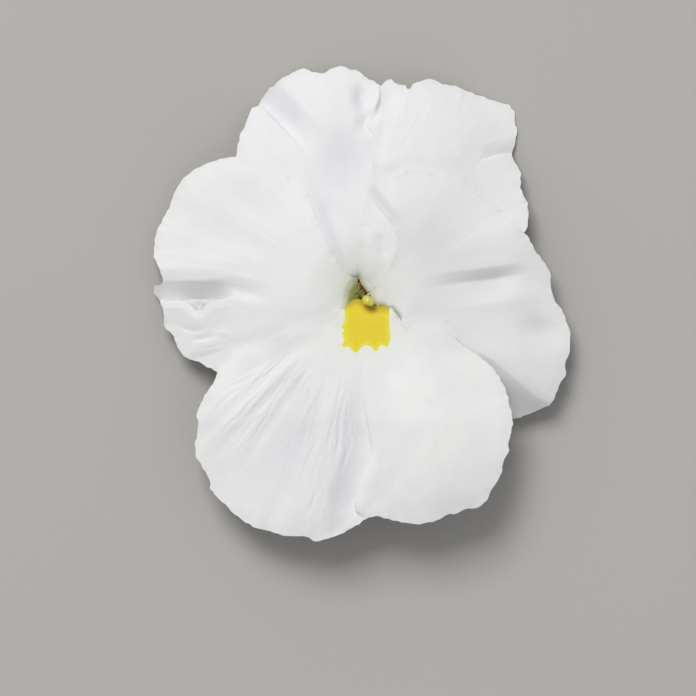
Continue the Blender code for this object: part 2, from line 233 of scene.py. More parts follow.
class Bench:
    # short calls for laying out a material's nodes
    def __init__(self, name, roughness=0.5, softness=0.0, reach=0.001, specular=0.4):
        self.material = bpy.data.materials.new(name)
        self.material.use_nodes = True
        self.tree = self.material.node_tree
        self.shader = self.tree.nodes["Principled BSDF"]
        self.shader.inputs["Roughness"].default_value = roughness
        self.shader.inputs["Specular IOR Level"].default_value = specular
        self.shader.inputs["Subsurface Weight"].default_value = softness
        self.shader.inputs["Subsurface Radius"].default_value = (1.0, 0.95, 0.85)
        self.shader.inputs["Subsurface Scale"].default_value = reach

    def add(self, kind, **values):
        node = self.tree.nodes.new(kind)
        for key, value in values.items():
            setattr(node, key, value)
        return node

    def fill(self, socket, value):
        # value: a number, a colour, the name of a stored attribute, or another node's output
        if isinstance(value, str):
            value = self.attribute(value)
        if isinstance(value, (int, float)):
            socket.default_value = value
        elif isinstance(value, tuple):
            socket.default_value = (*value, 1.0)
        else:
            self.tree.links.new(value, socket)

    def attribute(self, name):
        return self.add("ShaderNodeAttribute", attribute_name=name).outputs["Fac"]

    def spread(self, source, lowIn, highIn, lowOut=0.0, highOut=1.0):
        node = self.add("ShaderNodeMapRange", interpolation_type="SMOOTHSTEP")
        for key, value in zip(("From Min", "From Max", "To Min", "To Max"), (lowIn, highIn, lowOut, highOut)):
            node.inputs[key].default_value = value
        self.fill(node.inputs["Value"], source)
        return node.outputs["Result"]

    def sum(self, operation, first, second):
        node = self.add("ShaderNodeMath", operation=operation)
        self.fill(node.inputs[0], first)
        self.fill(node.inputs[1], second)
        return node.outputs[0]

    def blend(self, share, first, second):
        node = self.add("ShaderNodeMix", data_type="RGBA")
        self.fill(node.inputs["Factor"], share)
        self.fill(node.inputs[6], first)
        self.fill(node.inputs[7], second)
        return node.outputs[2]

    def lay(self, colour, tint, source, lowIn, highIn, lowOut=0.0, highOut=1.0):
        # a tint over a colour, as strongly as the source says
        return self.blend(self.spread(source, lowIn, highIn, lowOut, highOut), colour, tint)

    def spots(self, scale, detail=3.0):
        node = self.add("ShaderNodeTexNoise")
        node.inputs["Scale"].default_value = scale
        node.inputs["Detail"].default_value = detail
        self.fill(node.inputs["Vector"], self.add("ShaderNodeTexCoord").outputs["Object"])
        return node.outputs["Fac"]

    def cells(self, scale):
        node = self.add("ShaderNodeTexVoronoi")
        node.inputs["Scale"].default_value = scale
        self.fill(node.inputs["Vector"], self.add("ShaderNodeTexCoord").outputs["Object"])
        return node.outputs["Distance"]

    def streaks(self, acrossKey, acrossScale, alongKey, alongScale, detail=2.0):
        # noise drawn out along the piece
        across = self.sum("MULTIPLY", acrossKey, acrossScale)
        along = self.sum("MULTIPLY", alongKey, alongScale)
        both = self.add("ShaderNodeCombineXYZ")
        self.fill(both.inputs[0], across)
        self.fill(both.inputs[1], along)
        node = self.add("ShaderNodeTexNoise")
        node.inputs["Scale"].default_value = 1.0
        node.inputs["Detail"].default_value = detail
        self.fill(node.inputs["Vector"], both.outputs[0])
        return node.outputs["Fac"]

    def finish(self, colour, height=None, distance=0.00005, strength=0.5):
        self.fill(self.shader.inputs["Base Color"], colour)
        if height is not None:
            node = self.add("ShaderNodeBump")
            node.inputs["Distance"].default_value = distance
            node.inputs["Strength"].default_value = strength
            self.fill(node.inputs["Height"], height)
            self.fill(self.shader.inputs["Normal"], node.outputs["Normal"])
        return self.material


# The face that all petals share: a low mound round the throat that falls away outwards.
face = {
    "plateau": 10.0,
    "rise": 1.1,
    "riseFrom": 2.3,
    "riseWidth": 2.2,
    "shoulder": 9.0,  # from here outwards the face falls away
    "fall": 0.1,
    "waves": 0.45,
    "wavesFrom": 12,
    "wavesGrow": 24,
    "tilt": 0.4,  # how much lower the right side lies
    "gap": 0.17,  # from the middle of one petal to the middle of the petal under it
    "tuck": 3.0,  # how far outside a petal's edge the one below starts to bend under it
}


def faceHeight(x, y):
    r, turn = fromHeart(x, y)
    risen = 1 - np.exp(-np.maximum(r - face["riseFrom"], 0) / face["riseWidth"])
    z = face["plateau"] + face["rise"] * risen
    z = z - face["fall"] * np.maximum(r - face["shoulder"], 0) ** 1.3
    waves = np.sin(5 * turn + 0.6) + 0.6 * np.sin(9 * turn - 1.2)
    z = z - face["tilt"] * soft((x - 6) / 26) * soft((y + 14) / 10)
    return z + face["waves"] * soft((r - face["wavesFrom"]) / face["wavesGrow"]) * waves


# one wrinkle: the smallest length and width, and how much more the largest has
wrinkle = {"length": 4.0, "moreLength": 8.5, "width": 0.15, "moreWidth": 0.17}


def creases(x, y, petal):
    # short wandering wrinkles that run outwards from the throat
    r, turn = fromHeart(x, y)
    depth = np.zeros(x.shape)
    chance = np.random.RandomState(petal["seed"])
    for low, high, near, far, count, strength in petal["wrinkles"]:
        for a, b, c, d, e, f in chance.rand(count, 6):
            start = near + (far - near) * b
            length = wrinkle["length"] + wrinkle["moreLength"] * c
            wide = wrinkle["width"] + wrinkle["moreWidth"] * d
            at = math.radians(low + (high - low) * a) + 0.012 * (e - 0.5) * (r - start)
            at = at + 0.006 * np.sin(r * (0.35 + 0.6 * f) + 40 * a)
            off = ((turn - at + math.pi) % (2 * math.pi) - math.pi) * r
            shape = bell(off / wide) - 0.2 * bell((off - 2.2 * wide) / (1.6 * wide))
            ends = soft((r - start) / (0.3 * length)) * soft((start + length - r) / (0.5 * length))
            depth = depth + strength * (0.35 + 0.65 * f) * shape * ends
    return depth


def pleats(x, y, petal):
    # broad soft folds that fan out from the throat
    r, turn = fromHeart(x, y)
    turn = np.degrees(turn) % 360
    z = np.zeros(x.shape)
    for low, high, start, count, rise in petal["pleats"]:
        share = (turn - low) / (high - low)
        inside = soft(share / 0.2) * soft((1 - share) / 0.12) * soft((r - start) / 12)
        z = z + rise * inside * patchNoise(share * count, r / 26, petal["seed"] + 30)
    return z


def foldHeight(x, y, fold):
    # across: height against distance to the left of the line; ends: the share over which each end fades
    away, share, side = nearLine(x, y, smoothLine(fold["path"], 40))
    off, notch = side * away, 0.0
    if "bottom" in fold:
        # the left side is measured from a straighter line than the right side, and slopes down past it
        straight, ignored, straightSide = nearLine(x, y, smoothLine(fold["bottom"], 40))
        notch = np.where(off > 0, 0.3 * np.maximum(-straight * straightSide, 0), 0)
        off = np.where(off > 0, np.maximum(straight * straightSide, 0.05), off)
    reach, heights = zip(*fold["across"])
    places = np.arange(reach[0] - 3, reach[-1] + 3, 0.05)
    spread = fold.get("soften", 0.12)
    weights = np.exp(-((np.arange(-40, 41) * 0.05 / spread) ** 2) / 2)
    heights = np.pad(np.interp(places, reach, heights), 40, "edge")
    table = np.convolve(heights, weights / weights.sum(), "valid")
    z = np.interp(off, places, table) - notch
    starts, stops = fold["ends"]
    if starts:
        z = z * soft(share / starts)
    if stops:
        z = z * soft((1 - share) / stops)
    return z


def gathered(x, y, petal):
    # the net is drawn together along each sharp fold, so that the fold stays crisp
    for fold in petal["folds"]:
        if "under" in fold:
            line = smoothLine(fold["path"], 40)
            away, share = nearLine(x, y, line)[:2]
            pull = 0.8 * bell(away / 0.45)
            x = x + pull * (np.interp(share * 40, np.arange(41), line[:, 0]) - x)
            y = y + pull * (np.interp(share * 40, np.arange(41), line[:, 1]) - y)
    return x, y


def tucked(x, y, petal):
    # the low side of a sharp fold goes a little way under the high side
    for fold in petal["folds"]:
        if "under" in fold:
            away, share, side = nearLine(x, y, smoothLine(fold["path"], 40))
            starts, stops = fold["ends"]
            off = side * away * fold["low"]
            near = soft(off / 0.15) * bell((off - 0.15) / 0.6)
            near = near * soft(share / max(starts, 0.01)) * soft((1 - share) / max(stops, 0.01))
            x, y = x + fold["under"][0] * near, y + fold["under"][1] * near
    return x, y


def mounds(x, y, patches, total):
    # total plus soft oval patches
    for spot, (long, wide), turn, rise in patches:
        c, s = heading(turn)
        dx, dy = x - spot[0], y - spot[1]
        total = total + rise * bell((dx * c + dy * s) / long, (dy * c - dx * s) / wide)
    return total


def ownHeight(x, y, petal):
    z = faceHeight(x, y)
    for turn, start, length, drop in petal["curls"]:
        c, s = heading(turn)
        z = z - drop * soft((x * c + y * s - start) / length)
    for fold in petal["folds"]:
        z = z + foldHeight(x, y, fold)
    z = mounds(x, y, petal["bumps"], z)
    z = z - creases(x, y, petal) + pleats(x, y, petal)
    return z + petal["crumple"] * patchNoise(x / 3.1, y / 3.1, petal["seed"] + 40)


def margins(petal):
    # lip, left margin, rim and right margin as plan lines
    lip = smoothLine(petal["lip"], petal["across"])
    rim = smoothLine(petal["rim"], petal["across"])
    steps = np.linalg.norm(np.diff(rim, axis=0), axis=1)
    reach = np.concatenate([[0], np.cumsum(steps)])
    ahead = np.gradient(rim, axis=0)
    ahead /= np.maximum(np.linalg.norm(ahead, axis=1, keepdims=True), 1e-9)
    outward = np.stack([-ahead[:, 1], ahead[:, 0]], 1)
    nibble = patchNoise(reach / 1.9, reach * 0, petal["seed"] + 50)
    nibble = nibble + 0.6 * patchNoise(reach / 0.8, reach * 0, petal["seed"] + 51)
    fade = soft(reach / 3) * soft((reach[-1] - reach) / 3)
    rim = rim + outward * (petal["scallop"] * nibble * fade)[:, None]
    left = smoothLine([petal["lip"][0]] + petal["left"] + [petal["rim"][0]], 200)
    right = smoothLine([petal["lip"][-1]] + petal["right"] + [petal["rim"][-1]], 200)
    return lip, left, rim, right


def nudged(x, y, petal):
    # small places of the outline pushed sideways
    for spot, reach, shift in petal.get("nudges", []):
        near = np.exp(-((x - spot[0]) ** 2 + (y - spot[1]) ** 2) / reach**2)
        x, y = x + shift[0] * near, y + shift[1] * near
    return x, y


def covered(x, y, petal, tuck):
    # 1 under a petal, falling to 0 a little way outside its edge
    lip, left, rim, right = margins(petal)
    ring = np.concatenate([left[::5], rim[::3], right[::-5]])
    ring = np.stack(nudged(ring[:, 0], ring[:, 1], petal), 1)
    away = nearLine(x, y, np.vstack([ring, ring[:1]]))[0]
    away = np.where(insideRing(x, y, ring), 0.0, away)
    return soft(1 - away / tuck)


def sheetHeight(x, y, petal):
    z = ownHeight(x, y, petal)
    for name in petal["under"]:
        ceiling = sheetHeight(x, y, petals[name]) - face["gap"]
        h = np.clip(0.5 + 0.5 * (ceiling - z) / 0.3, 0, 1)
        lower = ceiling * (1 - h) + z * h - 0.3 * h * (1 - h)
        z = z + covered(x, y, petals[name], petal.get("tuck", face["tuck"])) * (lower - z)
    return z


def petalSkin(petal):
    cols, rows, neckRows = petal["across"], petal["along"], 12
    lip, left, rim, right = margins(petal)
    s = (np.arange(rows + 1) / rows) ** 1.2
    v = np.linspace(0, 1, cols + 1)
    leftAt = np.stack([np.interp(s * 200, np.arange(201), left[:, k]) for k in range(2)], 1)
    rightAt = np.stack([np.interp(s * 200, np.arange(201), right[:, k]) for k in range(2)], 1)
    out, over = s[:, None, None], v[None, :, None]
    plan = leftAt[:, None] * (1 - over) + rightAt[:, None] * over
    plan = plan + lip[None] * (1 - out) + rim[None] * out
    plan = plan - (lip[0] * (1 - over) + lip[-1] * over) * (1 - out)
    plan = plan - (rim[0] * (1 - over) + rim[-1] * over) * out
    x, y = nudged(plan[..., 0], plan[..., 1], petal)
    x, y = gathered(x, y, petal)
    margin = np.concatenate([left[:-1], rim, right[::-1][1:]])
    margin = np.stack(nudged(margin[:, 0], margin[:, 1], petal), 1)
    toMargin, share = nearLine(x, y, margin[::2])[:2]
    toLip = nearLine(x, y, lip[::8])[0]
    z = sheetHeight(x, y, petal)
    length = share * 110
    ripple = patchNoise(length / 1.5, length * 0, petal["seed"] + 60)
    ripple = ripple + 0.6 * patchNoise(length / 0.7, length * 0, petal["seed"] + 61)
    z = z + petal["ripple"] * (0.5 + 0.5 * ripple) * np.exp(-toMargin / 1.0)
    z = z - petal["lipDrop"] * np.exp(-toLip / petal["lipRound"])
    # nothing goes below the ground
    low, bend, ease = drawing["lowest"], drawing["bendFrom"], drawing["bendLength"]
    z = np.where(z < bend, low + ease * np.exp((z - bend) / ease), z)
    x, y = tucked(x, y, petal)
    sheet = np.stack([x, y, z], 2)
    # the neck turns down inside the throat to where the petal is fixed
    turns = np.radians(petal["clawTurn"] + petal["clawSpread"] * (1 - 2 * v))
    inward = np.stack([np.cos(turns), np.sin(turns)], 1)
    ringPlaces = np.array(drawing["heart"]) + drawing["clawRing"] * inward
    claw = np.concatenate([ringPlaces, np.full((cols + 1, 1), drawing["clawHeight"])], 1)
    t = np.linspace(0, 1, neckRows + 1)[:-1][:, None, None]
    lipPlaces = sheet[0][None]
    fromClaw = claw[None] + np.array([0, 0, 1.6])
    toLipPlaces = lipPlaces - np.array([0, 0, petal["neckDrop"]])
    neck = (1 - t) ** 3 * claw[None] + 3 * t * (1 - t) ** 2 * fromClaw
    neck = neck + 3 * t**2 * (1 - t) * toLipPlaces + t**3 * lipPlaces
    sheet = np.concatenate([neck, sheet])
    toMargin = np.concatenate([np.full((neckRows, cols + 1), 3.0), toMargin])
    rounded = 0.3 + 0.7 * soft(toMargin / 2.0)
    if "innerEdge" in petal:
        inner, ignored, side = nearLine(x, y, petal["innerEdge"])
        toLip = inner * side
    lipMm = np.concatenate([neck[..., 2] - lipPlaces[..., 2] + np.minimum(toLip[0], 0), toLip])
    c, s = heading(petal["clawTurn"])
    dx, dy = sheet[..., 0] - heartX, sheet[..., 1] - heartY
    extras = {
        "lipMm": lipMm,
        "throatMm": np.hypot(dx, dy),
        "turnRad": np.arctan2(c * dy - s * dx, c * dx + s * dy),
        "creaseMm": creases(sheet[..., 0], sheet[..., 1], petal),
        # painted shade: soft patches where the petal is given a darker lilac or grey colour
        "washShare": mounds(sheet[..., 0], sheet[..., 1], petal["paintedShades"], 0.0),
    }
    if "slit" in petal:
        away, share = nearLine(sheet[..., 0], sheet[..., 1], petal["slit"])[:2]
        extras["slitMm"] = away / (0.3 + 0.9 * np.sin(np.pi * share))
    if "blotch" in petal:
        ring = smoothLine(petal["blotch"] + petal["blotch"][:1], 150)
        edge = nearLine(sheet[..., 0], sheet[..., 1], ring)[0]
        inside = insideRing(sheet[..., 0], sheet[..., 1], ring)
        extras["blotchMm"] = np.where(inside, edge, -edge)
    return gridSkins(sheet, petal["thick"] * rounded, extras)


hair = {"count": 6, "length": 0.4, "moreLength": 0.45, "radii": (0.035, 0.05), "scatter": 0.12}


def hairSkins(petal):
    # the short white hairs that stand at the lip of a side petal
    chance = np.random.RandomState(petal["seed"] + 70)
    skins = []
    for x, y, turn in petal["hairs"]:
        for a, b, c, d in chance.rand(hair["count"], 4):
            x, y = x + hair["scatter"] * (a - 0.5), y + hair["scatter"] * (b - 0.5)
            z = sheetHeight(np.array([x]), np.array([y]), petal)[0] - 0.72 * petal["lipDrop"]
            way = math.radians(turn + 40 * (c - 0.5))
            along = np.linspace(0, 1, 7)[:, None]
            reach = hair["length"] + hair["moreLength"] * d
            path = np.array([x, y, z]) + along * np.array([math.cos(way), math.sin(way), 0]) * reach
            path = path + np.array([0, 0, 0.5]) * along * (1.3 - along)
            looks = {"throatMm": 40.0, "lipMm": 4.0, "slitMm": 9.0, "hairShare": 1.0}
            skins.append(tubeSkin(path, np.linspace(*hair["radii"], 7), 7, looks))
    return skins


# What a petal has unless its own dictionary says otherwise. All lengths are in mm.
everyPetal = {
    "across": 270,  # steps of the net from side to side
    "along": 105,  # steps of the net from lip to rim
    "thick": 0.15,
    "scallop": 0.22,  # how far the outline is nibbled
    "ripple": 0.2,  # how far the margin waves up
    "crumple": 0.03,  # small hills all over
    "lipDrop": 0.9,  # how far the lip turns down into the throat
    "lipRound": 0.6,
    "neckDrop": 1.2,  # how steeply the neck comes up to the lip
    "clawSpread": 22,  # degrees to each side of clawTurn
    # the colour of this petal's painted shade
    "paintedShadeTint": "lilacShade",
}

# The five petals. lip, left, rim and right are the outline, from the throat out and back.
# wrinkles: turns, distances, count, strength; pleats: turns, start, count, rise; nudges: place, reach, shift;
# paintedShades (soft patches of painted shade) and bumps: place, half sizes, turn, strength; curls: turn,
# start, length, drop.
# folds: across gives the height against the distance to the left of the path, and ends the shares that fade.
upperLeftPetal = {
    **everyPetal,
    "under": ["upperRight", "left", "right"],
    "clawTurn": 126,
    "wrinkles": [(95, 135, 26, 38, 26, 0.05), (95, 135, 14, 30, 16, 0.03)],
    "pleats": [(88, 132, 10, 7, 0.22)],
    "seed": 100,
    "lip": [(-2.6, 3.0), (-1.5, 3.9), (-0.6, 4.3)],
    "left": [(-4.6, 5.4), (-9.4, 12.0), (-17.4, 19.5)],
    "rim": [
        (-22.6, 26.0), (-22.1, 28.5), (-21.8, 30.3), (-21.0, 32.1), (-20.2, 34.2), (-18.5, 35.7),
        (-17.7, 37.2), (-14.8, 39.9), (-12.7, 41.5), (-10.5, 42.1), (-8.7, 41.7), (-6.8, 41.5),
        (-5.2, 42.4), (-3.9, 42.6), (-2.3, 42.1), (-0.4, 41.5), (0.5, 40.5), (1.8, 39.9), (3.3, 39.0),
        (5.4, 37.0), (7.6, 32.0), (8.0, 25.0),
    ],
    "right": [(1.2, 6.0), (3.8, 12.0), (6.6, 18.0)],
    "paintedShades": [
        ((-14.4, 36.0), (5.4, 2.6), -45, 1.0), ((-3.5, 25.0), (7.0, 4.5), 80, 0.9),
        ((-0.5, 36.8), (2.4, 1.3), 84, 1.0), ((-6.0, 13.0), (9.0, 1.3), 112, 0.8),
    ],
    "curls": [(90, 31, 11, 1.4), (135, 34, 9, 0.8)],
    "folds": [
        # the folded flap at the left stands over the hollow beside it
        {
            "path": [(-18.7, 36.2), (-15.1, 32.4), (-11.3, 28.3), (-9.4, 25.6)],
            "across": [
                (-2.5, 0.0), (-0.05, 0.2), (0.1, -0.8), (1.3, -1.6), (5.0, 0.3), (8.0, 0.4), (12.0, 0.0),
            ],
            "soften": 0.06, "low": 1, "under": (-0.5, -0.5), "ends": (0, 0.65),
        },
        # the rolled edge beside the other upper petal
        {
            "path": [(3.3, 38.8), (3.0, 36.5), (2.2, 34.9), (0.9, 33.2), (-0.2, 32.0)],
            "across": [(-1.2, 0.0), (-0.1, 0.25), (0.6, -0.45), (3.0, -0.6)],
            "ends": (0, 0.3),
        },
        # a shallow hollow that runs down to the throat
        {
            "path": [(-7.2, 18.6), (-5.0, 13.8), (-3.4, 8.6), (-1.8, 5.2), (-0.9, 4.0)],
            "across": [(-1.8, 0.0), (-0.4, -0.45), (0.7, -0.45), (2.6, 0.0)],
            "ends": (0.2, 0), "soften": 0.4,
        },
    ],
    "bumps": [
        ((-4.2, 24.0), (5.0, 6.5), 0, -1.2), ((-0.1, 36.8), (1.3, 2.1), 8, -1.2),
        ((-11.6, 39.4), (0.5, 2.0), -10, -0.2), ((-10.3, 38.6), (0.4, 1.8), -10, -0.15),
        ((-5.6, 38.0), (3.0, 3.6), 0, 0.4),
    ],
}
upperRightPetal = {
    **everyPetal,
    "under": ["right"],
    "clawTurn": 54,
    "wrinkles": [(45, 88, 24, 36, 22, 0.03)],
    "pleats": [(30, 86, 12, 6, 0.2)],
    "seed": 200,
    "nudges": [((2.4, 32.0), 1.3, (-1.8, 0.0))],
    "lip": [(-0.7, 4.5), (0.0, 3.3), (0.8, 2.1), (1.9, 0.9)],
    "left": [
        (-0.6, 7.0), (-0.3, 11.2), (0.6, 18.3), (1.7, 22.0), (2.1, 27.0), (2.5, 31.0), (3.0, 34.0),
        (3.4, 36.5),
    ],
    "rim": [
        (3.3, 38.7), (3.8, 39.4), (5.4, 40.1), (6.6, 39.4), (7.9, 39.2), (8.3, 38.6), (9.1, 39.2),
        (11.6, 40.2), (14.1, 39.6), (17.3, 38.9), (21.0, 37.6), (24.8, 36.2), (26.6, 35.8),
        (27.5, 34.6), (27.7, 32.6), (28.1, 31.0), (27.7, 29.0), (26.8, 27.0), (28.2, 23.7),
        (28.9, 19.4), (29.7, 18.3), (29.8, 15.3), (29.1, 12.8), (27.6, 10.6),
    ],
    "right": [(4.6, 2.8), (11.0, 6.0), (19.0, 8.6)],
    "paintedShades": [((21.0, 22.0), (7.0, 5.0), 0, 0.3), ((25.5, 27.4), (2.6, 1.0), 12, 0.7)],
    "curls": [(45, 33.9, 9.9, 1.5)],
    "folds": [
        # the step at the notch in its right edge
        {
            "path": [(21.0, 25.4), (23.6, 26.4), (25.6, 26.9), (27.6, 27.1)],
            "across": [(-0.1, 0.0), (0.1, -0.7), (2.4, 0.0)],
            "ends": (0.5, 0), "low": 1, "under": (0.0, -0.6),
        },
        # the small bright knob where its margin curls down over the other upper petal
        {
            "path": [(3.0, 29.8), (2.7, 31.2), (2.9, 32.8), (4.0, 34.2)],
            "across": [(-1.4, 0.0), (0.0, -0.1), (2.4, -1.0)],
            "ends": (0.35, 0.35),
        },
        # a short hollow near the throat
        {
            "path": [(2.4, 13.0), (3.6, 10.0), (4.6, 7.0)],
            "across": [(-1.5, 0.0), (0.2, -0.5), (1.5, 0.0)],
            "ends": (0.4, 0.4),
        },
    ],
    "bumps": [((2.2, 31.8), (1.3, 1.3), 0, 0.35), ((5.5, 36.5), (1.6, 2.2), 0, -0.3)],
}
leftThroatEdge = [(-3.5, -2.4), (-3.1, -0.8), (-2.9, 0.4), (-2.55, 2.2), (-1.75, 3.5), (-0.72, 4.5)]
leftPetal = {
    **everyPetal,
    "under": ["lower"],
    "clawTurn": 198, "across": 300, "along": 110, "scallop": 0.2, "ripple": 0.18,
    "wrinkles": [(195, 208, 22, 34, 26, 0.04), (130, 190, 12, 30, 30, 0.02)],
    "pleats": [(122, 174, 12, 6, 0.2)],
    "paintedShadeTint": "greyShade", "lipDrop": 0.3, "lipRound": 0.4, "neckDrop": 1.0, "seed": 300,
    "lip": [(-2.4, -2.6), (-1.6, -0.8), (-1.1, 0.4), (-0.75, 2.0), (-0.75, 3.2), (-0.7, 4.4)],
    "innerEdge": leftThroatEdge,
    "left": [(-5.0, -4.0), (-9.5, -8.0), (-14.5, -11.2)],
    "rim": [
        (-20.0, -13.2), (-26.8, -11.9), (-29.7, -10.3), (-32.0, -9.6), (-32.9, -8.2), (-33.4, -6.7),
        (-34.3, -5.4), (-35.3, -4.4), (-35.4, -2.0), (-35.7, -0.6), (-36.4, 0.4), (-37.4, 2.1),
        (-37.3, 3.0), (-36.2, 3.3), (-36.0, 5.6), (-37.0, 6.9), (-37.4, 8.8), (-37.4, 10.4),
        (-36.6, 13.5), (-34.8, 16.5), (-33.6, 20.3), (-30.5, 23.5), (-27.0, 25.4), (-22.1, 26.0),
        (-19.6, 25.6), (-17.0, 24.4), (-13.9, 23.1), (-12.0, 21.8), (-10.0, 20.3),
    ],
    "right": [(-1.6, 4.5), (-3.0, 5.3), (-4.3, 7.2), (-6.4, 11.0), (-8.7, 16.5)],
    "paintedShades": [
        ((-28.6, 1.9), (5.6, 2.0), 0, 1.0), ((-29.2, -0.6), (1.1, 0.9), 0, 0.9),
        ((-21.0, 20.0), (9.0, 5.0), -20, 0.5), ((-27.0, -9.5), (6.0, 2.2), 15, 0.5),
    ],
    "curls": [(180, 24, 13, 1.0), (240, 8, 16, -0.6)],
    "folds": [
        # it turns down into the throat along this edge
        {
            "path": leftThroatEdge,
            "across": [(-3.0, -1.7), (-1.6, -1.2), (-0.6, -0.6), (0.0, -0.15), (0.8, 0.0)],
            "ends": (0, 0),
        },
        # the furrow across the outer half, with the ruffled border below it
        {
            "path": [
                (-38.0, 0.1), (-34.4, 0.4), (-31.2, 0.2), (-29.2, -1.5), (-27.7, 0.1), (-25.9, 0.5),
                (-24.4, 0.8), (-22.4, 1.2),
            ],
            "bottom": [(-38.0, 0.3), (-31.0, 0.4), (-26.0, 0.5), (-22.4, 1.2)],
            "across": [(-4.2, 0.0), (-1.4, 0.35), (-0.05, 0.1), (0.05, -2.5), (1.1, -1.6), (3.6, 0.0)],
            "ends": (0, 0.22), "soften": 0.06, "low": 1, "under": (0.0, -0.1),
        },
        # the band above the furrow has an edge of its own
        {
            "path": [(-38.0, 6.1), (-30.0, 6.1), (-24.0, 5.4), (-21.0, 4.6)],
            "across": [(-2.6, 0.0), (-0.1, 0.5), (0.2, 0.5), (3.5, 0.0)],
            "ends": (0, 0.4), "soften": 0.1,
        },
        # the furrow's shallow tail towards the throat
        {
            "path": [(-26.0, 3.2), (-22.6, 2.4), (-19.0, 1.6), (-15.0, 1.0)],
            "across": [(-1.8, 0.0), (-0.3, -0.5), (0.2, -0.5), (2.4, 0.1), (4.5, 0.0)],
            "ends": (0.3, 0.6), "soften": 0.25,
        },
        # two small steps in the ruffled border
        {
            "path": [(-33.4, -3.9), (-31.6, -4.9), (-28.6, -5.1), (-27.0, -3.6)],
            "across": [(-0.3, 0.0), (0.1, -0.16), (1.2, 0.0)],
            "ends": (0.3, 0.3),
        },
        {
            "path": [(-30.6, -6.7), (-28.4, -6.7), (-26.0, -6.0)],
            "across": [(-0.3, 0.0), (0.1, -0.22), (1.2, 0.0)],
            "ends": (0.3, 0.3),
        },
    ],
    "bumps": [
        ((-24.8, -5.4), (0.8, 0.6), 0, 0.14), ((-28.0, -9.6), (4.0, 1.1), 20, -0.3),
    ],
}
rightPetal = {
    **everyPetal,
    "under": ["lower"],
    "tuck": 5.0, "clawTurn": 342, "across": 300, "along": 110, "scallop": 0.16, "ripple": 0.15,
    "wrinkles": [(-25, 60, 12, 32, 34, 0.02)],
    "pleats": [(12, 88, 8, 8, 0.24)],
    "paintedShadeTint": "greyShade", "lipRound": 0.7, "seed": 400,
    "lip": [(1.4, 2.2), (1.5, 1.0), (2.6, -0.4), (4.0, -0.7), (4.7, -2.0)],
    "left": [(2.8, 3.5), (4.8, 6.3), (5.7, 8.4), (6.2, 10.4), (5.9, 12.6), (4.4, 15.4), (2.6, 17.6)],
    "rim": [
        (0.9, 20.4), (2.1, 21.9), (5.4, 22.6), (9.1, 24.0), (11.6, 23.6), (15.4, 23.1), (18.4, 22.2),
        (21.6, 19.6), (24.3, 17.1), (25.9, 16.3), (27.9, 14.0), (29.3, 12.2), (31.4, 8.9),
        (32.8, 6.9), (33.9, 4.6), (34.1, 1.9), (34.8, 0.3), (35.9, -1.5), (36.9, -4.0), (37.4, -6.7),
        (37.1, -9.4), (36.5, -11.1), (36.4, -12.8), (35.4, -14.9), (34.6, -16.7), (33.9, -17.8),
        (31.4, -19.2), (28.6, -20.5), (23.0, -20.8),
    ],
    "right": [(6.0, -5.0), (10.0, -9.0), (16.0, -15.0)],
    "hairs": [(1.6, 2.3, 200), (1.65, 1.7, 205), (1.8, 0.9, 215), (2.3, 0.2, 220), (2.9, -0.3, 235)],
    "slit": [(5.4, -1.0), (6.5, -2.2), (7.2, -3.4)],
    "paintedShades": [
        ((23.5, 5.1), (5.0, 1.1), 12, 0.5), ((12.0, 11.0), (9.0, 8.0), 0, 0.65),
        ((3.6, 18.2), (4.0, 0.8), -52, 0.9), ((32.0, -4.6), (4.0, 2.4), -15, 0.6),
        ((29.0, -17.0), (7.0, 2.4), -35, 0.7),
    ],
    "curls": [(0, 26, 11, 0.2), (300, 8, 22, -2.6)],
    "folds": [
        # the long hollow in its outer half
        {
            "path": [(8.6, 1.5), (13.9, 2.9), (19.3, 3.7), (25.5, 4.5), (28.9, 5.3), (30.4, 6.6)],
            "across": [(-4.2, 0.0), (-0.6, -0.8), (0.1, -0.95), (2.2, 0.1), (4.2, 0.0)],
            "ends": (0.62, 0.3), "soften": 0.2,
        },
        # the hollow along the slit
        {
            "path": [(4.8, -0.4), (6.5, -2.0), (7.4, -3.4)],
            "across": [(-0.5, -0.2), (0.0, -0.7), (0.6, 0.0)],
            "ends": (0.2, 0.2),
        },
        # the low corner is folded back beside the lower petal
        {
            "path": [
                (18.4, -7.4), (22.4, -9.6), (25.5, -12.0), (28.7, -14.7), (31.4, -16.9), (35.0, -18.4),
            ],
            "across": [(-9.0, -4.5), (-4.0, -2.4), (-1.2, -0.62), (0.0, 0.05), (1.5, 0.15), (4.0, 0.0)],
            "ends": (0.3, 0), "soften": 0.1,
        },
    ],
    "bumps": [((32.3, -4.6), (3.4, 2.0), -15, -0.6), ((27.0, 1.0), (5.0, 2.2), 10, 0.2)],
}
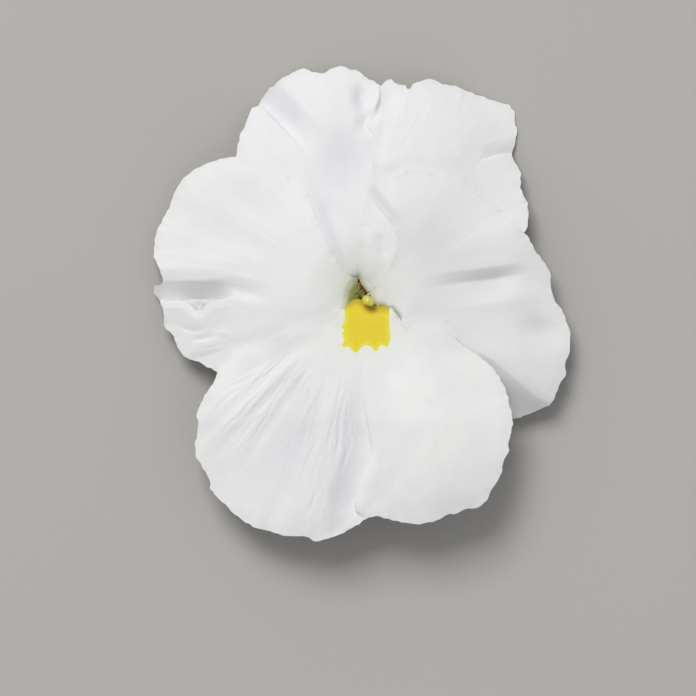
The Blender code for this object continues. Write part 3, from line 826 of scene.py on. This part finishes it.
lowerPetal = {
    **everyPetal,
    "under": [],
    "clawTurn": 270, "clawSpread": 38, "across": 430, "along": 100, "ripple": 0.16,
    "wrinkles": [
        (214, 264, 14, 28, 80, 0.07), (224, 268, 16, 28, 44, 0.07), (252, 268, 20, 36, 20, 0.08),
        (272, 320, 14, 34, 30, 0.02),
    ],
    "pleats": [(212, 269, 13, 17, 0.2), (269, 326, 10, 6, 0.2)],
    "crumple": 0.05, "lipDrop": 0.5, "lipRound": 0.8, "seed": 500,
    "lip": [
        (4.7, -0.75), (2.6, -0.7), (1.5, -0.75), (0.6, -0.1), (-0.4, 0.55), (-1.3, 0.5), (-2.2, 0.1),
        (-3.0, -0.4),
    ],
    "left": [(5.5, -1.5), (6.3, -2.7), (7.3, -3.5), (8.7, -3.2), (12.3, -2.1)],
    "rim": [
        (15.7, -4.0), (18.9, -8.0), (21.6, -10.1), (24.4, -13.1), (25.9, -16.9), (26.9, -21.2),
        (25.9, -26.5), (24.6, -30.3), (22.9, -33.8), (21.1, -36.0), (17.4, -37.2), (13.2, -38.8),
        (8.3, -39.3), (4.1, -38.4), (1.8, -38.2), (-2.0, -40.4), (-5.7, -42.2), (-8.0, -42.5),
        (-11.1, -41.7), (-15.4, -41.2), (-19.6, -39.9), (-22.7, -37.8), (-25.1, -35.4),
        (-27.2, -33.2), (-27.5, -30.8), (-29.0, -29.0), (-29.8, -25.3), (-29.6, -22.2),
        (-29.0, -18.1), (-26.3, -14.0), (-25.0, -11.2), (-23.4, -9.9), (-22.7, -8.5),
    ],
    "right": [(-4.3, -1.1), (-5.0, -2.0), (-7.0, -2.9), (-11.4, -4.0), (-15.6, -6.3), (-20.5, -8.1)],
    "blotch": [
        (-3.3, 0.6), (5.2, 0.6), (4.9, -1.4), (4.95, -4.0), (5.0, -6.4), (4.6, -7.9), (3.4, -7.6),
        (2.4, -8.8), (1.6, -7.9), (0.9, -7.6), (0.0, -7.9), (-1.2, -9.0), (-2.3, -7.9), (-3.6, -7.9),
        (-3.2, -6.6), (-3.5, -5.4), (-3.1, -5.0), (-3.8, -4.5), (-3.1, -3.6), (-3.2, -2.4),
        (-3.1, -1.0),
    ],
    "paintedShades": [
        ((-3.8, -35.0), (6.5, 1.5), 84, 0.9), ((-2.0, -22.0), (8.0, 2.2), 88, 0.6),
        ((-12.0, -25.0), (13.0, 4.4), 52, 0.25), ((18.0, -33.0), (8.0, 6.0), 40, 0.25),
        ((-27.0, -22.0), (3.0, 10.0), 0, 0.3), ((-12.0, -28.0), (14.0, 12.0), 0, 0.42),
        ((-15.0, -9.2), (4.2, 1.5), 28, 0.3),
    ],
    "curls": [(270, 4, 18, -2.4), (270, 14, 28, -3.2), (300, 6, 34, -4.6), (318, 30, 12, 0.3)],
    "folds": [
        # the right lobe lies a little over the left one
        {
            "path": [
                (0.5, -8.6), (0.3, -14.9), (0.5, -18.8), (1.2, -22.9), (1.7, -26.7), (1.2, -28.7),
                (0.2, -31.0), (-0.5, -33.1), (-1.3, -36.2), (-0.9, -37.4), (0.4, -38.1), (1.9, -38.3),
            ],
            "across": [
                (-8.0, 0.0), (-5.0, -0.2), (-2.2, -0.6), (-0.1, -0.9), (0.1, -0.1), (1.4, 0.15),
                (5.0, 0.0),
            ],
            "ends": (0.55, 0.16), "soften": 0.06, "low": -1, "under": (0.45, 0.0),
        },
        # a short step left of the middle
        {
            "path": [(-3.4, -17.0), (-3.7, -21.0), (-3.9, -24.0), (-3.5, -28.5)],
            "across": [(-1.0, 0.0), (-0.1, -0.3), (0.2, 0.0)],
            "ends": (0.4, 0.4),
        },
        # a soft hollow that runs down to the rim
        {
            "path": [(-3.4, -28.0), (-4.2, -33.0), (-4.6, -40.5)],
            "across": [(-2.0, 0.0), (-0.3, -0.5), (0.5, -0.5), (1.6, 0.0)],
            "ends": (0.7, 0), "soften": 0.5,
        },
    ],
    "bumps": [
        ((-12.2, -5.8), (2.8, 1.6), 20, 0.3), ((-15.0, -9.4), (4.4, 2.0), 28, -0.25),
        ((-20.8, -9.6), (2.0, 1.5), 30, 0.3), ((12.5, -5.8), (4.0, 2.0), 5, 0.15),
        ((14.0, -9.6), (5.4, 1.9), 12, -0.08), ((9.0, -20.0), (7.0, 10.0), 0, 0.5),
    ],
}
petals = {
    "upperLeft": upperLeftPetal,
    "upperRight": upperRightPetal,
    "left": leftPetal,
    "right": rightPetal,
    "lower": lowerPetal,
}

petalLooks = {
    "white": (0.90, 0.90, 0.898),
    "cool": (0.855, 0.86, 0.885),
    # lilacShade and greyShade are colours of painted shade
    "lilacShade": (0.755, 0.755, 0.82),
    "greyShade": (0.70, 0.705, 0.71),
    # the grey of the fine veins, also laid along the wrinkles as painted shade in the creases
    "veinAndCreaseShade": (0.79, 0.80, 0.80),
    "throatTint": (0.74, 0.79, 0.60),
    "lipTint": (0.62, 0.67, 0.42),
    "neckTint": (0.40, 0.45, 0.16),
    # darker olive deep in the throat: the throat's green with painted shade of the recess
    "deepOliveShade": (0.24, 0.27, 0.05),
    "lemon": (0.88, 0.81, 0.05),
    "gold": (0.87, 0.67, 0.035),
    "goldVein": (0.80, 0.52, 0.02),
    # painted shade: a darker gold where the blotch turns down at the lip
    "lipShadeGold": (0.50, 0.37, 0.02),
    "halo": (0.84, 0.84, 0.50),  # the pale yellow border of the blotch
    # the green of the petal beneath the slit, darkened as painted shade in the gap
    "slit": (0.34, 0.40, 0.28),
    "hair": (0.88, 0.78, 0.72),
    # painted light and shade: each petal's white is made lighter or darker for how the light falls on it
    "upperLeft": (0.87, 0.87, 0.88),  # the whites of the other petals
    "upperRight": (0.90, 0.90, 0.902),
    "lower": (0.93, 0.93, 0.92),
}


def petalMaterial(name, petal, whiteTint):
    looks = petalLooks
    bench = Bench(name, roughness=0.6, softness=0.12, reach=0.0004, specular=0.25)
    colour = bench.blend(bench.spread(bench.spots(110, 4), 0.4, 0.75, 0.0, 0.7), whiteTint, looks["cool"])
    fine = bench.streaks("turnRad", 55.0, "throatMm", 0.16, 3.0)
    colour = bench.lay(colour, looks["veinAndCreaseShade"], fine, 0.5, 0.72, 0.0, 0.22)
    # greyer along the wrinkles, by their depth: painted shade in the creases
    colour = bench.lay(colour, looks["veinAndCreaseShade"], "creaseMm", 0.01, 0.1, 0.0, 0.35)
    # painted shade: the petal's patches of painted shade are laid over the white
    colour = bench.lay(colour, looks[petal["paintedShadeTint"]], "washShare", 0.0, 1.0, 0.0, 0.7)
    near = bench.spread("throatMm", 3.0, 11.0, 0.5, 0.0)
    near = bench.sum("MULTIPLY", near, bench.spread(fine, 0.3, 0.7, 0.5, 1.0))
    colour = bench.blend(near, colour, looks["throatTint"])
    lip = bench.attribute("lipMm")
    colour = bench.lay(colour, looks["lipTint"], lip, 0.0, 1.1, 0.8, 0.0)
    if "slit" in petal:
        # painted shade along the slit where the right petal meets the lower one, over a green tint
        colour = bench.lay(colour, looks["slit"], "slitMm", 0.05, 0.4, 0.9, 0.0)
    if "blotch" in petal:
        edge = bench.attribute("blotchMm")
        colour = bench.lay(colour, looks["halo"], edge, -3.2, 0.0, 0.0, 0.12)
        jagged = bench.sum("ADD", edge, bench.spread(bench.spots(1500, 2), 0.3, 0.7, -0.07, 0.07))
        gold = bench.blend(bench.spread(jagged, 0.25, 1.3), looks["lemon"], looks["gold"])
        gold = bench.lay(gold, looks["goldVein"], fine, 0.5, 0.75, 0.0, 0.3)
        # painted shade on the blotch near the lip
        gold = bench.lay(gold, looks["lipShadeGold"], lip, -0.2, 1.8, 0.95, 0.0)
        colour = bench.lay(colour, gold, jagged, -0.05, 0.07)
        # painted shade deep inside the throat
        colour = bench.lay(colour, looks["deepOliveShade"], lip, -3.0, -0.8, 1.0, 0.0)
    else:
        colour = bench.lay(colour, looks["neckTint"], lip, -0.7, 0.0, 1.0, 0.0)
        # painted shade deep inside the throat
        colour = bench.lay(colour, looks["deepOliveShade"], lip, -2.2, -0.4, 1.0, 0.0)
    if "hairs" in petal:
        colour = bench.blend("hairShare", colour, looks["hair"])
    height = bench.sum("ADD", bench.sum("MULTIPLY", fine, 1.6), bench.cells(5200))
    return bench.finish(colour, height, 0.00003, 0.35)


print("petals")
# each petal gets its own white, lighter or darker as painted light and shade
for key, node, slot, tint in (
    ("upperLeft", "petal_upper_left", "petal_upper", "upperLeft"),
    ("upperRight", "petal_upper_right", "petal_upper", "upperRight"),
    ("left", "petal_left", "petal_side", "white"),
    ("right", "petal_right", "petal_side", "white"),
):
    skins = [petalSkin(petals[key])]
    if "hairs" in petals[key]:
        skins += hairSkins(petals[key])
    place(meshPiece(node, skins), node, petalMaterial(key + "White", petals[key], petalLooks[tint]))

# the hollow nectar spur, grown as one piece with the lower petal
spur = {
    "path": [
        (-0.3, -0.9, 8.6), (-0.3, -2.1, 7.6), (-0.3, -3.3, 6.2), (-0.3, -4.2, 4.6), (-0.3, -4.75, 2.8),
    ],
    "radii": [1.15, 1.25, 1.25, 1.12, 0.18],
}
spurPath = smoothLine(spur["path"], 26)
spurShare = np.linspace(0, 1, 27)
spurRadii = np.interp(spurShare, np.linspace(0, 1, 5), spur["radii"])
spurLooks = {"lipMm": -1.0 - 0.6 * spurShare, "throatMm": 3.0 + 6 * spurShare, "blotchMm": -4.0}
spurSkin = tubeSkin(spurPath, spurRadii, 28, spurLooks)
lowerPiece = meshPiece("petal_lower", [petalSkin(petals["lower"]), spurSkin])
lowerWhite = petalMaterial("lowerWhite", petals["lower"], petalLooks["lower"])
place(lowerPiece, "petal_lower", lowerWhite)

print("sepals")
sepalShape = {
    # from the ear to the middle of the blade, as distance out and height
    "spine": [(4.2, 3.1), (3.5, 4.4), (3.1, 5.6), (3.2, 6.4), (4.6, 7.5), (8.0, 8.3)],
    "tipHeight": 7.6,
    "halfWidths": [0.75, 1.05, 0.8, 0.85, 1.5, 2.2, 0.12],
    "trough": 0.22,
    "thick": 0.34,
    "reach": {  # which way each one points, and how far
        "top": (90, 15.0),
        "left": (160, 14.6),
        "right": (20, 15.4),
        "low_left": (222, 13.4),
        "low_right": (318, 13.8),
    },
}
leafLooks = {
    "green": (0.10, 0.21, 0.045),
    "light": (0.23, 0.36, 0.10),
    "pale": (0.42, 0.50, 0.24),
    "dull": (0.14, 0.15, 0.06),
}


def leafMaterial(name, green, light):
    bench = Bench(name, roughness=0.42, softness=0.15, reach=0.0006, specular=0.45)
    veins = bench.streaks("acrossMm", 2.6, "alongMm", 0.22, 3.0)
    colour = bench.blend(bench.spread(veins, 0.42, 0.66), green, light)
    colour = bench.lay(colour, leafLooks["dull"], bench.spots(260, 4), 0.5, 0.8, 0.0, 0.5)
    colour = bench.lay(colour, leafLooks["pale"], "edgeMm", 0.05, 0.45, 0.75, 0.0)
    height = bench.sum("ADD", veins, bench.sum("MULTIPLY", bench.cells(3800), 0.4))
    return bench.finish(colour, height, 0.00006, 0.6)


def leafSkin(spine, halfWidths, facing, trough, thick, seed, teeth):
    # a leaf along a spine; facing points across it, and the edges are a little toothed
    rows, cols = 72, 20
    line = smoothLine(spine, rows)
    share = np.linspace(0, 1, rows + 1)
    at = np.linspace(0, 1, len(halfWidths))
    half = np.interp(share, at, halfWidths)
    half = half + teeth * patchNoise(share * 26, share * 0, seed) * np.minimum(half, 1)
    side = np.linspace(-1, 1, cols + 1)
    over = np.array(facing, float)
    ahead = np.gradient(line, axis=0)
    ahead /= np.linalg.norm(ahead, axis=1, keepdims=True)
    up = np.cross(ahead, over)
    up = up * np.where(up[:, 2:] < 0, -1, 1)
    lift = trough * half[:, None] * side[None] ** 2
    lift = lift - 0.10 * bell(side[None] * half[:, None] / 0.22) * soft(share / 0.1)[:, None]
    lift = lift + 0.04 * patchNoise(side[None] * 3 + share[:, None] * 2, share[:, None] * 14, seed + 1)
    places = line[:, None] + over * (half[:, None] * side[None])[..., None] + up[:, None] * lift[..., None]
    edge = half[:, None] * (1 - np.abs(side[None]))
    extras = {
        "edgeMm": edge,
        "acrossMm": half[:, None] * side[None] + 20,
        "alongMm": share[:, None] * 16 + 0 * side[None],
    }
    midrib = 1 + 0.5 * bell(side[None] * half[:, None] / 0.3)
    return gridSkins(places, thick * np.sqrt(np.clip(edge / 0.35, 0.06, 1)) * midrib, extras)


sepalGreen = leafMaterial("sepalGreen", leafLooks["green"], leafLooks["light"])
for k, (key, (turn, reach)) in enumerate(sepalShape["reach"].items()):
    c, s = heading(turn)
    outline = sepalShape["spine"] + [(reach, sepalShape["tipHeight"])]
    spine = [(heartX + r * c, heartY + r * s, z) for r, z in outline]
    trough, thick = sepalShape["trough"], sepalShape["thick"]
    skin = leafSkin(spine, sepalShape["halfWidths"], (-s, c, 0), trough, thick, 600 + k, 0.09)
    place(meshPiece("sepal_" + key, [skin]), "sepal_" + key, sepalGreen)

print("stalk and bractlets")
stalk = {
    "path": [
        (-0.3, 1.8, 6.6), (-0.3, 1.8, 6.1), (-0.3, 1.85, 5.6), (-0.3, 2.0, 5.2), (-0.3, 2.35, 4.85),
        (-0.3, 3.2, 3.8), (-0.3, 3.5, 2.7), (-0.3, 2.9, 1.6), (-0.35, 1.3, 0.95), (-0.5, -1.6, 0.87),
        (-1.4, -12.0, 0.87), (-2.1, -24.0, 0.87), (-0.9, -37.0, 0.87),
    ],
    "radii": [2.45, 2.6, 1.9, 1.15, 0.9, 0.85, 0.85, 0.85, 0.85, 0.85, 0.83, 0.82, 0.84],
    "ridges": 0.05,  # how far the four soft corners stand out
    "green": (0.16, 0.29, 0.06),
    "light": (0.27, 0.41, 0.12),
    "dull": (0.20, 0.20, 0.08),
    "cutEnd": (0.46, 0.52, 0.30),
}
at = np.concatenate([[0], np.cumsum(np.linalg.norm(np.diff(np.array(stalk["path"]), axis=0), axis=1))])
stalkLine = smoothLine(stalk["path"], 260)
along = np.linspace(0, at[-1], 261)
turns = np.linspace(0, 2 * np.pi, 28, endpoint=False)
corners = stalk["ridges"] * (np.cos(4 * turns[None] + along[:, None] * 0.04) - 1)
corners = corners + 0.012 * (patchNoise(along[:, None] / 0.8, turns[None] * 4, 701) - 1)
swells = 1 + corners * soft((along - 5) / 4)[:, None]
cut = np.exp(-np.maximum(at[-1] - along, 0) / 0.25)
stalkSkin = tubeSkin(stalkLine, np.interp(along, at, stalk["radii"]), 28, {"cutShare": cut}, swells)
bench = Bench("stalkGreen", roughness=0.4, softness=0.2, reach=0.0008, specular=0.45)
grain = bench.spots(900, 3)
colour = bench.blend(bench.spread(grain, 0.35, 0.7), stalk["green"], stalk["light"])
colour = bench.lay(colour, stalk["dull"], bench.spots(120, 3), 0.5, 0.8, 0.0, 0.6)
colour = bench.lay(colour, stalk["cutEnd"], "cutShare", 0.5, 0.95)
stalkGreen = bench.finish(colour, bench.sum("ADD", grain, bench.cells(3000)), 0.00006, 0.5)
place(meshPiece("stem", [stalkSkin]), "stem", stalkGreen)

bractletShape = {
    "start": (-1.45, -13.0),
    "reach": 4.4,
    "spread": 1.5,
    "halfWidth": 0.5,
    "trough": 0.3,
    "thick": 0.3,
    "green": (0.15, 0.27, 0.07),
    "light": (0.26, 0.38, 0.13),
}
bractletGreen = leafMaterial("bractletGreen", bractletShape["green"], bractletShape["light"])
for k, (key, sign) in enumerate((("bractlet_left", -1), ("bractlet_right", 1))):
    spine, half = [], []
    for s in np.linspace(0, 1, 9):
        x = bractletShape["start"][0] + sign * (1.45 + bractletShape["spread"] * s * s)
        spine.append((x, bractletShape["start"][1] + bractletShape["reach"] * s, 0.95 + 0.5 * s))
        half.append(bractletShape["halfWidth"] * math.sin(math.pi * (0.12 + 0.85 * s)) + 0.08)
    trough, thick = bractletShape["trough"], bractletShape["thick"]
    skin = leafSkin(spine, half, (0.94, -0.34 * sign, 0), trough, thick, 720 + k, 0.12)
    place(meshPiece(key, [skin]), key, bractletGreen)

print("pistil and stamens")
pistil = {
    "outline": [
        (0.08, 6.95), (0.55, 6.98), (0.88, 7.6), (0.95, 8.3), (0.75, 9.1), (0.36, 9.8), (0.30, 10.6),
        (0.44, 10.95), (0.72, 11.3), (0.78, 11.7), (0.58, 12.15), (0.06, 12.35),
    ],
    "lean": (1.25, -1.5),  # how far the knob stands to the right and down from the middle
    "hollow": (0.6, -0.8),  # the way the hollow in the knob faces
    "stretch": (0.86, -0.51),  # the way the knob is drawn out
    "yellow": (0.68, 0.60, 0.07),
    "lemon": (0.78, 0.70, 0.12),
    "green": (0.13, 0.155, 0.025),
    # painted shade: the knob's lower side is coloured brown
    "brown": (0.28, 0.07, 0.02),
    # painted shade: a dark red band round the hollow, where the right petal's lip comes close
    "rim": (0.30, 0.07, 0.02),
    # painted shade: the hollow in the knob is coloured near black
    "pit": (0.10, 0.09, 0.02),
}
outline = smoothLine([(r, 0, z) for r, z in pistil["outline"]], 90)
radius, height = outline[:, 0], outline[:, 2]
bend = np.maximum(height - 9.0, 0) / 2.9
axis = np.stack([heartX + pistil["lean"][0] * bend, heartY + pistil["lean"][1] * bend, height], 1)
turns = np.linspace(0, 2 * np.pi, 48, endpoint=False)
around = np.stack([np.cos(turns), np.sin(turns)], 1)
toward = around @ (np.array(pistil["hollow"]) / np.hypot(*pistil["hollow"]))
ribs = 0.05 * np.cos(3 * turns[None]) * soft((9.4 - height) / 1.0)[:, None]
pit = bell((height[:, None] - 11.75) / 0.3, (1 - toward[None]) / 0.12)
drawn = np.maximum(around @ np.array(pistil["stretch"]), 0) ** 4 * soft((height[:, None] - 10.8) / 0.8)
uneven = 0.02 * patchNoise(turns[None] * 5, height[:, None] * 5, 801)
wide = radius[:, None] * (1 + ribs + 0.95 * drawn - 0.5 * pit + uneven)
level = np.repeat(height[:, None, None], 48, 1)
places = np.concatenate([axis[:, None, :2] + wide[..., None] * around[None], level], 2)
rim = bell((height[:, None] - 11.7) / 0.5, (1 - toward[None]) / 0.34) - pit
extras = {"pitShare": pit, "rimShare": rim, "upMm": level[..., 0]}
skin = gridSkins(places, 0.1, extras, True)
bench = Bench("pistilGreen", roughness=0.28, softness=0.25, reach=0.0006, specular=0.5)
mottle = bench.spots(2600, 3)
colour = bench.blend(bench.spread(mottle, 0.35, 0.7), pistil["yellow"], pistil["lemon"])
colour = bench.lay(colour, pistil["green"], "upMm", 10.2, 11.0, 1.0, 0.0)
# painted shade round the lower side of the knob
lowerSideShade = bench.spread("upMm", 11.5, 11.78, 0.9, 0.0)
lowerSideShade = bench.sum("MULTIPLY", lowerSideShade, bench.spread("upMm", 10.9, 11.2))
colour = bench.blend(lowerSideShade, colour, pistil["brown"])
# painted shade on the band round the hollow and in the hollow itself
colour = bench.lay(colour, pistil["rim"], "rimShare", 0.25, 0.6, 0.0, 0.9)
colour = bench.lay(colour, pistil["pit"], "pitShare", 0.3, 0.7)
pistilGreen = bench.finish(colour, bench.sum("ADD", mottle, bench.cells(6000)), 0.00004, 0.6)
place(meshPiece("pistil", [skin]), "pistil", pistilGreen)

stamen = {
    "ring": 1.52,
    "low": 7.15,
    "high": 9.45,
    "halfWidth": 0.56,
    "tipLean": 0.9,  # how far the tips close in over the middle
    "turns": {"top": 90, "left": 162, "right": 18, "low_left": 234, "low_right": 306},
    "tail": [(0.85, 0.6, 8.1), (0.5, -0.3, 8.4), (0.32, -1.4, 7.9), (0.32, -2.3, 6.9)],  # of the two low ones
    "ochre": (0.55, 0.48, 0.22),
    "pale": (0.72, 0.66, 0.38),
    "olive": ((0.22, 0.25, 0.05), (0.36, 0.38, 0.12)),  # dark and light
    "brown": ((0.11, 0.018, 0.008), (0.34, 0.10, 0.05)),
    "tailGreen": (0.45, 0.55, 0.16),
}
bench = Bench("stamenOchre", roughness=0.75, softness=0.1, reach=0.0005, specular=0.2)
powder = bench.spots(4200, 3)
colour = bench.blend(bench.spread(powder, 0.35, 0.7), stamen["ochre"], stamen["pale"])
tip = bench.spread("tipShare", 0.5, 0.75)
olive = bench.blend(bench.spread(powder, 0.4, 0.62), *stamen["olive"])
brown = bench.blend(bench.spread(powder, 0.4, 0.62), *stamen["brown"])
colour = bench.blend(tip, colour, bench.blend("redShare", olive, brown))
colour = bench.blend("tailShare", colour, stamen["tailGreen"])
stamenOchre = bench.finish(colour, bench.sum("ADD", powder, bench.cells(7000)), 0.00006, 0.8)
for k, (key, turn) in enumerate(stamen["turns"].items()):
    share, side = np.linspace(0, 1, 31)[:, None], np.linspace(-1, 1, 19)[None]
    inward = stamen["tipLean"] * soft((share - 0.5) / 0.5) ** 1.3
    sacs = 0.16 * bell((np.abs(side) - 0.5) / 0.3) * soft((0.75 - share) / 0.2)
    ringAt = stamen["ring"] - inward + sacs
    roundEnd = np.sqrt(np.clip(1 - ((share - 0.68) / 0.33) ** 2, 0.02, 1))
    half = stamen["halfWidth"] * np.where(share < 0.68, 1.0, roundEnd)
    half = half * (0.75 + 0.25 * soft(share / 0.2))
    angle = math.radians(turn) + half * side / ringAt
    up = stamen["low"] + (stamen["high"] - stamen["low"]) * share
    up = up + 0.04 * patchNoise(side * 4, share * 6, 820 + k)
    places = np.stack([heartX + ringAt * np.cos(angle), heartY + ringAt * np.sin(angle), up + 0 * angle], 2)
    edge = np.sqrt(np.clip(1 - side**2, 0.05, 1)) * np.sqrt(np.clip(share / 0.1, 0.1, 1))
    # the tips are brown on the right of the throat and olive on the left
    reddened = soft((places[..., 0] - heartX + 0.35 * (places[..., 1] - heartY)) / 0.25)
    extras = {"tipShare": share + 0 * side, "redShare": reddened}
    skins = [gridSkins(places, (0.5 - 0.34 * soft((share - 0.55) / 0.3)) * edge, extras)]
    if key.startswith("low"):
        sign = -1 if key == "low_left" else 1
        tailLine = smoothLine([(heartX + sign * x, y, z) for x, y, z in stamen["tail"]], 24)
        skins.append(tubeSkin(tailLine, np.linspace(0.19, 0.11, 25), 12, {"tipShare": 0.0, "tailShare": 1.0}))
    place(meshPiece("stamen_" + key, skins), "stamen_" + key, stamenOchre)

studio = {
    "floor": (0.50, 0.485, 0.465),
    "floorPale": (0.51, 0.495, 0.475),
    "sky": (0.97, 0.985, 1.0),
    "skyStrength": 0.41,
    "keyWatts": 26.0,
    "keyColour": (1.0, 0.985, 0.96),
    "keyFrom": (-0.5, 1.15, 1.6),
    "keySize": 1.0,
    "viewHeight": 1.0,  # camera above the petals, straight down on the face
    "petalLevel": 0.0085,
    "viewWidth": 0.1243,  # what the picture spans at the petals
    "viewMiddle": (-0.00243, -0.00818),
}
bpy.ops.mesh.primitive_plane_add(size=6, location=(0, 0, 0))
floor = bpy.context.object
floor.name = "floor"
bench = Bench("plainFloor", roughness=0.9)
floorColour = bench.blend(bench.spots(6, 3), studio["floor"], studio["floorPale"])
floor.data.materials.append(bench.finish(floorColour))

world = bpy.data.worlds.new("softSky")
bpy.context.scene.world = world
world.use_nodes = True
world.node_tree.nodes["Background"].inputs["Color"].default_value = (*studio["sky"], 1)
world.node_tree.nodes["Background"].inputs["Strength"].default_value = studio["skyStrength"]

keyData = bpy.data.lights.new("keyLight", "AREA")
keyData.energy = studio["keyWatts"]
keyData.color = studio["keyColour"]
keyData.size = studio["keySize"]
key = bpy.data.objects.new("keyLight", keyData)
key.location = studio["keyFrom"]
key.rotation_euler = (-Vector(studio["keyFrom"])).to_track_quat("-Z", "Y").to_euler()
bpy.context.scene.collection.objects.link(key)
bpy.context.scene.view_settings.view_transform = "Standard"

camData = bpy.data.cameras.new("camera")
camData.sensor_width = 36
camData.lens = camData.sensor_width * studio["viewHeight"] / studio["viewWidth"]
camera = bpy.data.objects.new("camera", camData)
camera.location = (*studio["viewMiddle"], studio["viewHeight"] + studio["petalLevel"])
bpy.context.scene.collection.objects.link(camera)
bpy.context.scene.camera = camera
print("studio set")
